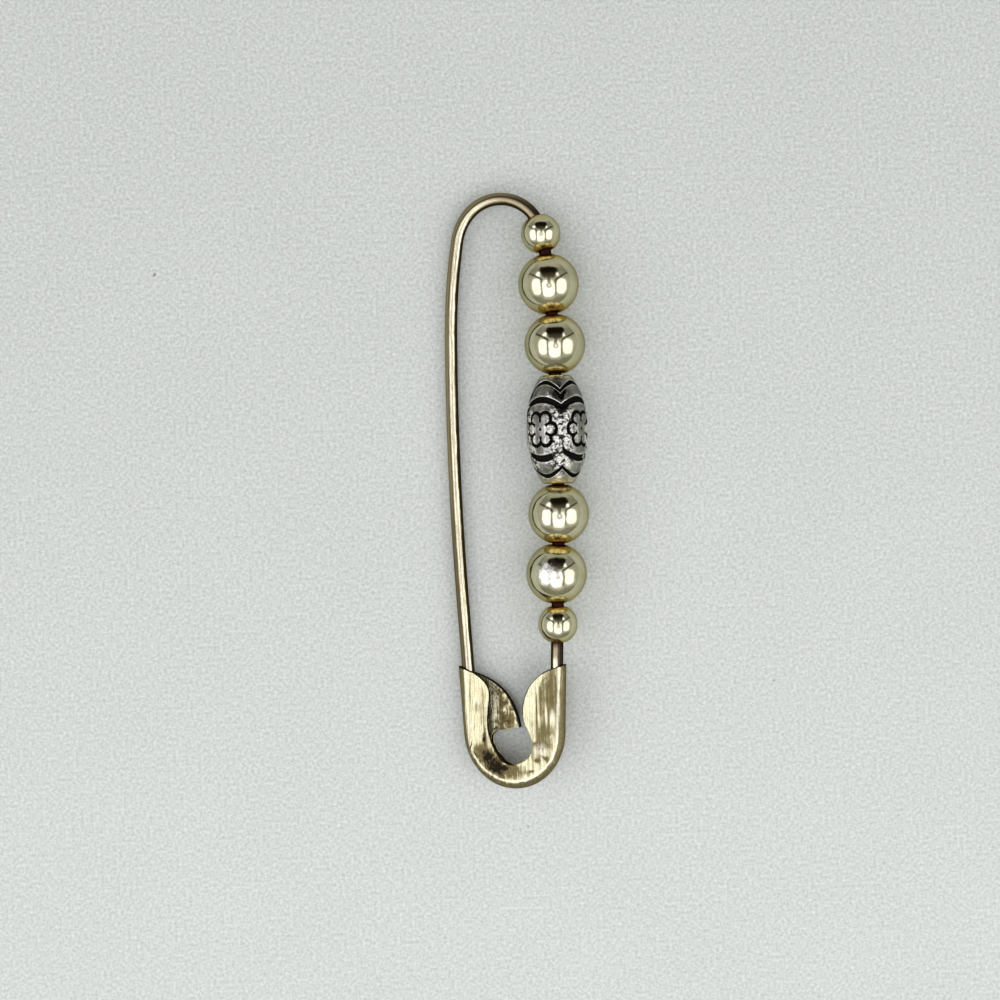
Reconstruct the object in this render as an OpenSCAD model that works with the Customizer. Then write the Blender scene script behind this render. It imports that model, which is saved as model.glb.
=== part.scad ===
// Safety pin brooch: a bent wire pin with a folded sheet clasp and a row of seven metal beads.
// It is drawn as it lies on a table: +X to the right, +Y along the row of beads towards the bend,
// +Z up. The row of beads and the clasp's far rim rest on the plane z = 0. Millimetres.

/* [Beads] */
// Diameter of the four large round beads
big_bead_d = 8.0; // [7.2:0.1:8.8]
// Diameter of the two small round beads, one at each end of the row
small_bead_d = 5.2; // [4.7:0.1:5.8]
// Diameter of the hole through a large bead and through the barrel bead
big_bore_d = 2.1; // [2.0:0.05:2.4]
// Diameter of the hole through a small bead, wider because the wire bends inside it
small_bore_d = 2.25; // [2.15:0.05:2.5]
// Width of the chamfer round each end of a hole
bore_chamfer = 0.12; // [0.05:0.01:0.2]
// Space between the ends of two neighbouring beads, before each bead's own share of play
bead_gap = 0.1; // [0.05:0.01:0.3]
// Loose length that is left over along the row and shared out between the beads
row_play = 1.5; // [0.8:0.1:2.2]

/* [Barrel bead] */
// Greatest diameter of the barrel bead
barrel_d = 8.05; // [7.4:0.05:8.4]
// Diameter of the barrel bead at its flat ends
barrel_end_d = 4.0; // [3.6:0.1:4.8]
// Length of the barrel bead along the wire
barrel_l = 14.2; // [12.5:0.1:16]
// Depth of the cast grooves below the surface
relief_depth = 0.32; // [0.2:0.01:0.4]
// Radius of one cast flower, out to the tips of its petals
flower_r = 2.15; // [1.8:0.05:2.3]
// Width of the grooves round the flowers and along the arches
groove_w = 0.45; // [0.4:0.05:0.6]
// Angle of the first edge between two panels, turned from the top of the bead
panel_turn = 21; // [0:1:45]

/* [Wire] */
// Diameter of the wire
wire_d = 1.65; // [1.4:0.05:1.7]
// Radius of the bend's centreline on the side of the beads
bend_r = 5.75; // [5.2:0.05:6.5]
// Length of wire between the middle of the bend and the first bead
lead_l = 5.8; // [5.5:0.1:7.5]
// Bare wire between the last bead and the mouth of the clasp
bare_l = 3.05; // [2:0.05:5]
// Length of the ground point at the pin's end
point_l = 4.2; // [3:0.1:6]
// Gap between the two halves of the bend where the pin arm flexes
flex_gap = 0.1; // [0.09:0.01:0.14]

/* [Clasp] */
// Height of the clasp from its mouth to its rounded bottom
clasp_h = 16.3; // [15:0.1:18]
// How much longer than a half circle the rounded bottom is drawn out
bottom_stretch = 1.15; // [1:0.01:1.25]
// Thickness of the folded sheet
sheet_t = 0.36; // [0.3:0.01:0.42]
// Space all round the wires inside the clasp
clasp_gap = 0.06; // [0.05:0.01:0.12]
// Depth to which the pin's point reaches into the clasp
pin_depth = 10; // [8:0.1:11]
// Depth to which the spine wire is held in the clasp
spine_depth = 9; // [7:0.1:10]

/* [Hidden] */
$fn = 64;

gold = "#cdbf92";
dark_gold = "#a8946a";
old_silver = "#b4b2ac";

wire_r = wire_d / 2;
wire_sides = 16;
arc_step = 5;
longest_step = 4;
rim_r = wire_r + clasp_gap + sheet_t;
hollow_r = wire_r + clasp_gap;

// The seven beads from the bend to the clasp. Kind 0 is small, 1 is large and 2 is the barrel.
// Side is how far the bead hangs sideways on the wire, as a share of the play in its hole,
// and after is its share of the loose length that follows it.
BEAD_KIND = 0;
BEAD_SIDE = 1;
BEAD_AFTER = 2;
//         kind  side  after
beads = [[0, -0.35, 0.38],
         [1, -0.5, 0.13],
         [1, 0.8, 0.11],
         [2, 0, 0.02],
         [1, 0.1, 0.08],
         [1, -0.9, 0.28],
         [0, 0.2, 0]];
BARREL = 3;
REST_BEADS = [1, 5];

function bead_r(kind) = kind == 0 ? small_bead_d / 2 : kind == 1 ? big_bead_d / 2 : barrel_d / 2;
function bore_r(kind) = kind == 0 ? small_bore_d / 2 : big_bore_d / 2;
function half_l(kind) = kind == 2 ? barrel_l / 2
    : sqrt(pow(bead_r(kind), 2) - pow(bore_r(kind) + bore_chamfer, 2));
function sum(list, last, i = 0) = i > last ? 0 : list[i] + sum(list, last, i + 1);

// Distance along the pin arm from the middle of the bend to the middle of bead i
bead_len = [for (b = beads) 2 * half_l(b[BEAD_KIND])];
bead_space = [for (b = beads) bead_gap + b[BEAD_AFTER] * row_play];
function bead_at(i) = lead_l + sum(bead_len, i - 1) + sum(bead_space, i - 1) + bead_len[i] / 2;
function row_end() = bead_at(len(beads) - 1) + bead_len[len(beads) - 1] / 2;
function arm_l() = row_end() + bare_l;

// The wire's arcs, each as a radius and the angle it turns through. The pin arm starts at the
// middle of the bend and turns clockwise, the spine starts there and turns anticlockwise.
// Gentle arcs have their radius as a share of the arm's length.
shoulder_share = 1.28;
crown_share = 0.965;
pin_arcs = [[bend_r, 79.1], [1.0 * arm_l(), 7.9], [6.15 * arm_l(), 4.9]];
spine_arcs = [[bend_r * crown_share, 55.3], [bend_r * shoulder_share, 25.6],
    [1.34 * arm_l(), 8.4], [7.1 * arm_l(), 4.3]];

// A place on the wire is [x, y, heading] in the flat plane of the brooch, with the middle of
// the bend at the origin. turn is 1 for an anticlockwise arc and -1 for a clockwise one.
function arc_place(p, r, a, turn) =
    [p[0] + turn * r * (sin(p[2] + turn * a) - sin(p[2])),
     p[1] + turn * r * (cos(p[2]) - cos(p[2] + turn * a)),
     p[2] + turn * a];
function straight_place(p, l) = [p[0] + l * cos(p[2]), p[1] + l * sin(p[2]), p[2]];
function arc_l(row) = row[0] * row[1] * PI / 180;
function place_at(p, arcs, turn, s, i = 0) =
    i == len(arcs) ? straight_place(p, s)
    : s <= arc_l(arcs[i]) ? arc_place(p, arcs[i][0], s / arcs[i][0] * 180 / PI, turn)
    : place_at(arc_place(p, arcs[i][0], arcs[i][1], turn), arcs, turn, s - arc_l(arcs[i]), i + 1);
function arcs_l(arcs) = sum([for (row = arcs) arc_l(row)], len(arcs) - 1);
function arc_stops(arcs, i = 0, start = 0) = i == len(arcs) ? [start]
    : let (steps = ceil(max(arcs[i][1] / arc_step, arc_l(arcs[i]) / longest_step)) + 1)
      concat([for (k = [0:steps - 1]) start + arc_l(arcs[i]) * k / steps],
             arc_stops(arcs, i + 1, start + arc_l(arcs[i])));
function pin_place(s) = place_at([0, 0, 0], pin_arcs, -1, s);
function spine_place(s) = place_at([0, 0, 180], spine_arcs, 1, s);

// Middle of bead i, moved sideways by its play
function side_of(p, d) = [p[0] - d * sin(p[2]), p[1] + d * cos(p[2]), p[2]];
function bead_play(kind) = bore_r(kind) - wire_r;
function bead_place(i) = let (p = pin_place(bead_at(i)), kind = beads[i][BEAD_KIND])
    side_of(p, beads[i][BEAD_SIDE] * bead_play(kind));

// The clasp's mouth lies level with the end of the bare wire, square to the row of beads
rest_a = bead_place(REST_BEADS[0]);
rest_b = bead_place(REST_BEADS[1]);
lean = atan2(rest_a[1] - rest_b[1], rest_a[0] - rest_b[0]) - 90;
function flat(p) = let (x = p[0] - rest_b[0], y = p[1] - rest_b[1])
    [x * cos(lean) + y * sin(lean), y * cos(lean) - x * sin(lean), p[2] - lean];
mouth_right = flat(pin_place(arm_l()));
spine_start = flat(spine_place(arcs_l(spine_arcs)));
spine_run = (mouth_right[1] - spine_start[1]) / sin(spine_start[2]);
spine_l = arcs_l(spine_arcs) + spine_run;
mouth_left = flat(spine_place(spine_l));
mouth_mid = [(mouth_left[0] + mouth_right[0]) / 2, mouth_right[1]];
left_lean = mouth_left[2] - 270;
right_lean = 270 - (mouth_right[2] + 360);

// The brooch tips over until the clasp's rim meets the table
tilt = asin((big_bead_d / 2 - rim_r) / -mouth_left[0]);

// Box of the whole brooch as it lies, for an origin at the middle of its foot
spine_pts = [for (s = arc_stops(spine_arcs)) flat(spine_place(s))];
box_left = min([for (p = spine_pts) p[0]]) * cos(tilt) - wire_r;
box_right = max([for (i = [0:len(beads) - 1])
    flat(bead_place(i))[0] * cos(tilt) + bead_r(beads[i][BEAD_KIND])]);
box_top = max([for (p = spine_pts) p[1]]) + wire_r;
box_bottom = mouth_mid[1] - clasp_h;

// Lays a shape from the brooch's own plane down onto the table
module laid() {
    translate([-(box_left + box_right) / 2, -(box_top + box_bottom) / 2, big_bead_d / 2])
        rotate([0, -tilt, 0])
            children();
}

// A round bar along a list of places in the flat plane, with a radius for each place
module bar(places, radii) {
    n = len(places);
    sides = wire_sides;
    points = [for (i = [0:n - 1]) for (k = [0:sides - 1])
        let (h = places[i][2], a = k * 360 / sides, q = side_of(places[i], radii[i] * cos(a)))
        [q[0], q[1], radii[i] * sin(a)]];
    walls = [for (i = [0:n - 2]) for (k = [0:sides - 1])
        [i * sides + k, (i + 1) * sides + k,
         (i + 1) * sides + (k + 1) % sides, i * sides + (k + 1) % sides]];
    first = [for (k = [0:sides - 1]) k];
    last = [for (k = [sides - 1:-1:0]) (n - 1) * sides + k];
    polyhedron(points, concat([first], walls, [last]), convexity = 6);
}

module spine_wire() {
    stops = [for (s = arc_stops(spine_arcs)) max(s, flex_gap / 2)];
    ends = [spine_l, spine_l + spine_depth];
    places = [for (s = concat(stops, ends)) flat(spine_place(s))];
    color(gold)
        laid()
            bar(places, [for (p = places) wire_r]);
}

// The point is ground to a long rounded taper
point_rings = 6;
point_tip_r = 0.06;
function taper(t) = point_tip_r + (wire_r - point_tip_r) * sqrt(1 - t * t);

module pin_wire() {
    shaft_end = arm_l() + pin_depth - point_l;
    stops = [for (s = arc_stops(pin_arcs)) max(s, flex_gap / 2)];
    tip_stops = [for (k = [1:point_rings]) shaft_end + point_l * k / point_rings];
    places = [for (s = concat(stops, [shaft_end], tip_stops)) flat(pin_place(s))];
    radii = concat([for (s = stops) wire_r], [wire_r],
        [for (k = [1:point_rings]) taper(k / point_rings)]);
    color(gold)
        laid()
            bar(places, radii);
}

// Sets a bead that is drawn round the Z axis onto the wire, its upper end towards the bend
module on_wire(i) {
    p = flat(bead_place(i));
    heading = flat(pin_place(bead_at(i)))[2];
    laid()
        translate([p[0], p[1], 0])
            rotate([0, 0, heading + 90 + bead_cant(i)])
                rotate([-90, 0, 0])
                    children();
}

// The first bead sits where the wire still curves, so its hole leans along the curve's chord
first_cant = 5;
function bead_cant(i) = i == 0 ? first_cant : 0;

// A ball with a chamfered hole along Z
module drilled_ball(kind) {
    r = bead_r(kind);
    hole = bore_r(kind);
    top = half_l(kind);
    rotate_extrude()
        difference() {
            intersection() {
                circle(r);
                translate([0, -r])
                    square([r, 2 * r]);
            }
            translate([-1, -r - 1])
                square([hole + 1, 2 * r + 2]);
            for (end = [-1, 1])
                polygon([[0, end * (top - bore_chamfer)], [hole, end * (top - bore_chamfer)],
                         [hole + bore_chamfer, end * top], [hole + bore_chamfer, end * (r + 1)],
                         [0, end * (r + 1)]]);
        }
}

module round_bead(i) {
    color(gold)
        on_wire(i)
            drilled_ball(beads[i][BEAD_KIND]);
}

// The barrel bead is cast with four panels, each a raised flower between two pairs of arches.
// a is the angle from the panel's middle, x and y are the distances from it round the bead and
// along it, and heights along the bead are shares of its half length.
panels = 4;
panel_half = 180 / panels;
barrel_cols = 80;
barrel_rows = 56;
barrel_power = 2.4;
square_share = 0.03;
petals = 6;
petal_share = 0.29;
core_share = 0.46;
inner_arch = [0.385, 0.54];
outer_arch = [0.69, 0.86];
arch_power = 0.8;
wedge_foot = 0.5;
wedge_slope = 0.6;
wedge_margin = 0.05;
wedge_edge = 0.03;
function step_up(t) = let (c = min(1, max(0, t))) c * c * (3 - 2 * c);
function groove(d, w) = 1 - step_up((abs(d) - w * 0.25) / (w * 0.3));
function arch(ends, a) = ends[0]
    + (ends[1] - ends[0]) * pow(max(0, cos(a * 90 / panel_half)), arch_power);
function flower_edge(x, y) = let (r = petal_share * flower_r, reach = flower_r - r)
    min(norm([x, y]) - core_share * flower_r,
        min([for (k = [0:petals - 1]) let (t = k * 360 / petals)
            norm([x - reach * cos(t), y - reach * sin(t)]) - r]));
function wedge(a, h) = let (e = 1 - abs(a) / panel_half)
    step_up((h - wedge_foot - wedge_slope * e) / wedge_edge)
    * step_up((arch(outer_arch, a) - wedge_margin - h) / wedge_edge);
function carved(a, x, y) = let (h = abs(y) / (barrel_l / 2))
    max(groove((h - arch(inner_arch, a)) * barrel_l / 2, groove_w * 2),
        groove((h - arch(outer_arch, a)) * barrel_l / 2, groove_w * 1.2),
        groove(flower_edge(x, y) - groove_w / 2, groove_w),
        groove(norm([x, y]), groove_w * 0.8),
        wedge(a, h));
function barrel_body(y) = barrel_d / 2
    - (barrel_d - barrel_end_d) / 2 * pow(abs(y) / (barrel_l / 2), barrel_power);
function barrel_surface(turn, y) =
    let (a = (turn - panel_turn + 360) % (2 * panel_half) - panel_half,
         flat_side = square_share * (1 + cos(a * 180 / panel_half)) / 2,
         r = barrel_body(y) * (1 - flat_side))
    r - relief_depth * carved(a, r * a * PI / 180, y);

module barrel_bead() {
    over = 1;
    n = barrel_cols;
    rings = barrel_rows + 1;
    points = [for (j = [0:barrel_rows]) for (k = [0:n - 1])
        let (y = (j / barrel_rows - 0.5) * barrel_l, turn = k * 360 / n, r = barrel_surface(turn, y))
        [r * sin(turn), -r * cos(turn), y]];
    walls = [for (j = [0:rings - 2]) for (k = [0:n - 1])
        [j * n + k, (j + 1) * n + k, (j + 1) * n + (k + 1) % n, j * n + (k + 1) % n]];
    foot = [for (k = [0:n - 1]) k];
    head = [for (k = [n - 1:-1:0]) (rings - 1) * n + k];
    color(old_silver)
        on_wire(BARREL)
            difference() {
                polyhedron(points, concat([foot], walls, [head]), convexity = 8);
                cylinder(r = big_bore_d / 2, h = barrel_l + 2 * over, center = true);
            }
}

// The clasp's own frame has its origin in the middle of the mouth and +Y towards the bend.
// Its two side rims follow the wires, and half an ellipse joins them at the bottom.
half_mouth = (mouth_right[0] - mouth_left[0]) / 2;
clasp_w = half_mouth + rim_r;
rim_lean = (left_lean + right_lean) / 2;
clasp_turn = (left_lean - right_lean) / 2;
join_a = atan(bottom_stretch * tan(rim_lean));
bottom_a = (half_mouth - (clasp_h - rim_r) * tan(rim_lean))
    / (cos(join_a) - bottom_stretch * (1 - sin(join_a)) * tan(rim_lean));
bottom_b = bottom_a * bottom_stretch;
bottom_y = -(clasp_h - rim_r - bottom_b);
rim_steps = 36;

// Rim centreline as [x, y, outward direction], from the left side of the mouth round the
// bottom to the right side, starting at a height y above or below the mouth
function rim_end(side, y) = [side * (half_mouth + y * tan(rim_lean)), y,
    side > 0 ? -rim_lean : 180 + rim_lean];
function rim_bend(a) = [bottom_a * cos(a), bottom_y + bottom_b * sin(a),
    atan2(bottom_a * sin(a), bottom_b * cos(a))];
function rim_path(y) = concat([rim_end(-1, y)],
    [for (k = [0:rim_steps]) rim_bend(180 + join_a + (180 - 2 * join_a) * k / rim_steps)],
    [rim_end(1, y)]);

// A flat pillow with a round rim of radius r, cut off level at height y
module pillow(r, y) {
    profile_steps = 8;
    m = profile_steps + 1;
    path = rim_path(y);
    n = len(path);
    points = [for (i = [0:n - 1]) for (k = [0:profile_steps])
        let (a = -90 + 180 * k / profile_steps, out = path[i][2], d = r * cos(a),
             lift = i == 0 || i == n - 1 ? d * sin(out) : 0,
             side = i == 0 ? -1 : 1)
        [path[i][0] + d * cos(out) - side * lift * tan(rim_lean), path[i][1] + d * sin(out) - lift,
         r * sin(a)]];
    walls = [for (i = [0:n - 2]) for (k = [0:profile_steps - 1])
        [i * m + k, i * m + k + 1, (i + 1) * m + k + 1, (i + 1) * m + k]];
    face_up = [for (i = [0:n - 1]) (n - 1 - i) * m + profile_steps];
    face_down = [for (i = [0:n - 1]) i * m];
    mouth = concat([for (k = [0:profile_steps]) profile_steps - k],
                   [for (k = [0:profile_steps]) (n - 1) * m + k]);
    polyhedron(points, concat(walls, [face_up, face_down, mouth]), convexity = 6);
}

// Edges of the openings between the two lobes, as shares of the clasp's half width and height
front_edge = [[-1, 0], [-0.85, -0.018], [-0.68, -0.052], [-0.517, -0.107], [-0.427, -0.17],
    [-0.404, -0.24], [-0.43, -0.33], [-0.456, -0.44], [-0.44, -0.54], [-0.355, -0.658],
    [-0.22, -0.757], [-0.04, -0.796], [0.16, -0.772], [0.3, -0.72], [0.35, -0.645], [0.315, -0.57],
    [0.225, -0.47], [0.192, -0.385], [0.217, -0.285], [0.344, -0.161], [0.582, -0.064],
    [0.8, -0.024], [1, 0]];
tongue_edge = [[-1, 0], [-0.74, -0.054], [-0.51, -0.098], [-0.318, -0.152], [-0.155, -0.224],
    [-0.03, -0.315], [0.06, -0.417], [0.104, -0.509]];
back_edge = [[-0.13, -0.526], [-0.32, -0.535], [-0.405, -0.572], [-0.41, -0.63], [-0.31, -0.715],
    [-0.17, -0.785], [0, -0.812], [0.17, -0.79], [0.32, -0.735], [0.375, -0.65], [0.34, -0.57],
    [0.25, -0.47], [0.217, -0.385], [0.242, -0.285], [0.369, -0.161], [0.6, -0.064],
    [0.81, -0.024], [1, 0]];
edge_steps = 4;

// A smooth curve through a list of points
function curve_point(p, i, t) =
    let (a = p[max(0, i - 1)], b = p[i], c = p[i + 1], d = p[min(len(p) - 1, i + 2)])
    b + (c - a) * t / 2 + (a * 2 - b * 5 + c * 4 - d) * t * t / 2 + (b * 3 - a - c * 3 + d) * t * t * t / 2;
function curve(p) = concat([for (i = [0:len(p) - 2]) for (k = [0:edge_steps - 1])
    curve_point(p, i, k / edge_steps)], [p[len(p) - 1]]);
function sized(p) = [for (q = p) [q[0] * clasp_w, q[1] * clasp_h]];

module edge_cut(edge, from, to) {
    over = 1;
    outline = concat(edge, [[clasp_w + over, 0], [clasp_w + over, over], [-clasp_w - over, over],
        [-clasp_w - over, 0]]);
    translate([0, 0, from])
        linear_extrude(to - from)
            polygon(outline);
}

module clasp() {
    clear = 1;
    color(dark_gold)
        laid()
            translate([mouth_mid[0], mouth_mid[1], 0])
                rotate([0, 0, clasp_turn])
                difference() {
                    pillow(rim_r, 0);
                    pillow(hollow_r, clear);
                    edge_cut(sized(curve(front_edge)), 0, rim_r + clear);
                    edge_cut(sized(concat(curve(tongue_edge), curve(back_edge))), -rim_r - clear, 0);
                }
}

spine_wire();
clasp();
pin_wire();
round_bead(0);  // top_small_bead
round_bead(1);  // first_round_bead
round_bead(2);  // second_round_bead
barrel_bead();
round_bead(4);  // third_round_bead
round_bead(5);  // fourth_round_bead
round_bead(6);  // bottom_small_bead
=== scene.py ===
import math

import bpy
import numpy as np
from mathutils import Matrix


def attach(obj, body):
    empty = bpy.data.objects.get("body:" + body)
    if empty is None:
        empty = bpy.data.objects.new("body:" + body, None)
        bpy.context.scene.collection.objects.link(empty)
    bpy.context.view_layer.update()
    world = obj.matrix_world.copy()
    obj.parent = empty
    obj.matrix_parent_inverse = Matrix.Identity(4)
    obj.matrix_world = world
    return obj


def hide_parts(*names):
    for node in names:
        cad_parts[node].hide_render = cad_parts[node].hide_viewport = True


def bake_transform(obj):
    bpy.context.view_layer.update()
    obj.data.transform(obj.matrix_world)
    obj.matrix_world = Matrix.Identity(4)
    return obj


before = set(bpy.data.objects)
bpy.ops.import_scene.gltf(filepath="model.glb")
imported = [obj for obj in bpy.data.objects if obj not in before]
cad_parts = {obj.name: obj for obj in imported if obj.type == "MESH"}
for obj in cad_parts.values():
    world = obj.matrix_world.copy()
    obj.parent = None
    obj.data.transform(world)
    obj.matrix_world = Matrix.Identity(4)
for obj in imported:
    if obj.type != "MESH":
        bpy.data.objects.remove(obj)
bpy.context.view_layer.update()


# The view: the camera hangs over the table at arm's length and looks straight down, as the
# photograph was taken. It is turned by a little over one degree, and stands over the middle of
# the picture rather than over the brooch.
CAMERA_PLACE = (-0.002524, -0.001212, 0.280)
CAMERA_TURN = -1.6032
HALF_VIEW = 0.06665

lens = bpy.data.cameras.new("view_from_above")
lens.angle = 2 * math.atan(HALF_VIEW / CAMERA_PLACE[2])
lens.clip_start = 0.01
camera = bpy.data.objects.new("view_from_above", lens)
camera.location = CAMERA_PLACE
camera.rotation_euler = (0, 0, math.radians(CAMERA_TURN))
bpy.context.scene.collection.objects.link(camera)
bpy.context.scene.camera = camera


# The light: a pale room with a row of three soft window panels overhead, towards the clasp's end,
# and the dark underside of the camera stand beside them. It is one map of the sky, laid flat so
# that a polished ball seen from above shows the map as it is drawn here.
ROOM = (0.37, 0.365, 0.35)
ROOM_EDGE = (0.33, 0.325, 0.295)
ROOM_SIDE = (0.60, 0.595, 0.56)
HAZE = (0.72, 0.715, 0.70)
PANEL = (2.05, 2.06, 2.35)
STAND = (0.010, 0.008, 0.006)
STAND_FOOT = (0.13, 0.105, 0.085)
PANELS = [((-0.47, -0.125), (0.19, 0.295)), ((-0.02, -0.21), (0.225, 0.300)),
          ((0.475, -0.125), (0.215, 0.275)), ((-0.385, 0.325), (0.085, 0.095)), ((0.30, 0.305), (0.05, 0.06))]
FRAMES = (-0.262, 0.226)
STAND_MIDDLE = 0.01
RING_PLACE = -0.08
RING_R = 0.065


def add(tree, kind, inputs=None, **settings):
    """One shader node. Inputs are named or numbered, each a value or another node's socket."""
    made = tree.nodes.new(kind)
    for name, value in settings.items():
        setattr(made, name, value)
    for name, value in (inputs or {}).items():
        if isinstance(value, bpy.types.NodeSocket):
            tree.links.new(value, made.inputs[name])
        else:
            made.inputs[name].default_value = value
    return made


def calc(tree, operation, *values):
    """One number worked out from others."""
    return add(tree, "ShaderNodeMath", dict(enumerate(values)), operation=operation).outputs[0]


def plus(tree, *values):
    return calc(tree, "ADD", *values)


def minus(tree, *values):
    return calc(tree, "SUBTRACT", *values)


def times(tree, *values):
    return calc(tree, "MULTIPLY", *values)


def larger(tree, *values):
    return calc(tree, "MAXIMUM", *values)


def size_of(tree, value):
    return calc(tree, "ABSOLUTE", value)


def rise(tree, value, low, high):
    """A smooth step from 0 where value is at low to 1 where it is at high."""
    inputs = {"Value": value, "From Min": low, "From Max": high}
    return add(tree, "ShaderNodeMapRange", inputs, interpolation_type="SMOOTHSTEP").outputs[0]


def blend_colour(tree, share, first, second):
    """The first colour where share is 0 and the second where it is 1."""
    made = add(tree, "ShaderNodeMix", data_type="RGBA", blend_type="MIX", clamp_factor=True)
    for socket, value in ((made.inputs[0], share), (made.inputs[6], first), (made.inputs[7], second)):
        if isinstance(value, bpy.types.NodeSocket):
            tree.links.new(value, socket)
        elif socket.type == "RGBA":
            socket.default_value = (*value, 1)
        else:
            socket.default_value = value
    return made.outputs[2]


def make_sky():
    """The room's light by direction: its place on the map is x and y over one plus z, which is the
    tangent of half the angle from straight up. A panel is where the distance from its middle over
    its half size, to the third power and summed over both ways, is under one, with a haze round it.
    Two window frames part the panels. The stand is a wedge that widens away from the panels, with a
    stub and a ring in the middle and a thin straight rod to each side."""
    world = bpy.data.worlds.new("studio")
    world.use_nodes = True
    bpy.context.scene.world = world
    tree = world.node_tree
    tree.nodes.clear()
    ray = add(tree, "ShaderNodeSeparateXYZ", {0: add(tree, "ShaderNodeTexCoord").outputs["Generated"]})
    reach = larger(tree, plus(tree, ray.outputs["Z"], 1), 0.05)
    u = calc(tree, "DIVIDE", ray.outputs["X"], reach)
    v = calc(tree, "DIVIDE", ray.outputs["Y"], reach)
    out = calc(tree, "SQRT", plus(tree, times(tree, u, u), times(tree, v, v)))
    aside = size_of(tree, minus(tree, u, STAND_MIDDLE))
    level = rise(tree, size_of(tree, plus(tree, v, 0.05)), 0.62, 0.30)
    bright = times(tree, rise(tree, aside, 0.45, 0.80), level)
    far_wall = times(tree, rise(tree, v, 0.58, 0.70), rise(tree, aside, 0.62, 0.30))
    bright = larger(tree, bright, far_wall)
    edge = blend_colour(tree, bright, ROOM_EDGE, ROOM_SIDE)
    colour = blend_colour(tree, rise(tree, out, 0.5, 0.85), ROOM, edge)
    reaches = []
    for (mid_u, mid_v), (half_u, half_v) in PANELS:
        across = size_of(tree, calc(tree, "DIVIDE", minus(tree, u, mid_u), half_u))
        along = size_of(tree, calc(tree, "DIVIDE", minus(tree, v, mid_v), half_v))
        reaches.append(plus(tree, calc(tree, "POWER", across, 3), calc(tree, "POWER", along, 3)))
        colour = blend_colour(tree, rise(tree, reaches[-1], 4.2, 1.1), colour, HAZE)
    for reach_out in reaches:
        colour = blend_colour(tree, rise(tree, reach_out, 1.4, 0.7), colour, PANEL)
    for place in FRAMES:
        bar = rise(tree, size_of(tree, minus(tree, u, place)), 0.040, 0.014)
        bar = times(tree, bar, times(tree, rise(tree, v, -0.46, -0.38), rise(tree, v, 0.16, 0.10)))
        colour = blend_colour(tree, times(tree, bar, 0.8), colour, STAND_FOOT)
    rod = size_of(tree, plus(tree, minus(tree, v, times(tree, aside, 0.62)), 0.028))
    rod = times(tree, rise(tree, rod, 0.055, 0.020), rise(tree, aside, 0.18, 0.24))
    colour = blend_colour(tree, times(tree, rod, 0.95), colour, STAND)
    stub = times(tree, rise(tree, v, -0.06, 0.04), rise(tree, v, 0.40, 0.30))
    stub = times(tree, rise(tree, aside, 0.080, 0.035), stub)
    below = plus(tree, v, -RING_PLACE)
    ring = calc(tree, "SQRT", plus(tree, times(tree, aside, aside), times(tree, below, below)))
    ring = rise(tree, size_of(tree, minus(tree, ring, RING_R)), 0.045, 0.018)
    stub = larger(tree, stub, times(tree, ring, 0.75))
    colour = blend_colour(tree, times(tree, stub, 0.85), colour, STAND_FOOT)
    half = plus(tree, times(tree, v, 0.55), 0.10)
    half = minus(tree, half, larger(tree, minus(tree, v, 0.5), 0))
    wedge = times(tree, rise(tree, minus(tree, half, aside), -0.02, 0.05),
                 times(tree, rise(tree, v, 0.13, 0.21), rise(tree, v, 0.67, 0.60)))
    stand = blend_colour(tree, rise(tree, v, 0.42, 0.16), STAND, STAND_FOOT)
    colour = blend_colour(tree, wedge, colour, stand)
    light = add(tree, "ShaderNodeBackground", {"Color": colour, "Strength": 1.0})
    tree.links.new(light.outputs[0], add(tree, "ShaderNodeOutputWorld").inputs["Surface"])


make_sky()
bpy.context.scene.view_settings.view_transform = "Standard"


# The table: a sheet of matt pale grey card with a fine tooth and a few dark specks of dust. It
# isn't part of the brooch. Its colour is painted a shade lighter at the clasp's end, as painted
# light from the windows.
TABLE_SIZE = 3.0
CARD = (0.598, 0.621, 0.543)
SPECK = (0.13, 0.125, 0.12)


def stretched(tree, place, *scale):
    """A place stretched by a scale for each way."""
    return add(tree, "ShaderNodeMapping", {"Vector": place, "Scale": scale}).outputs[0]


def coordinates(tree, scale=(1, 1, 1)):
    """Object coordinates stretched by a scale for each way."""
    return stretched(tree, add(tree, "ShaderNodeTexCoord").outputs["Object"], *scale)


def noise(tree, place, scale, detail=2.0, roughness=0.5, distortion=0.0):
    """Cloudy noise from 0 to 1 with its mean near a half."""
    inputs = {"Vector": place, "Scale": scale, "Detail": detail, "Roughness": roughness,
              "Distortion": distortion}
    return add(tree, "ShaderNodeTexNoise", inputs).outputs["Fac"]


def new_finish(name, **values):
    """A material with one Principled shader, whose plain values are set on its own sockets."""
    made = bpy.data.materials.new(name)
    made.use_nodes = True
    shader = made.node_tree.nodes["Principled BSDF"]
    for socket, value in values.items():
        shader.inputs[socket.replace("_", " ")].default_value = value
    return made, made.node_tree, shader


def bump(tree, height, depth):
    """A surface normal from a height of 0 to 1 that stands for depth in metres."""
    return add(tree, "ShaderNodeBump", {"Height": height, "Distance": depth, "Strength": 1.0}).outputs[0]


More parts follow.
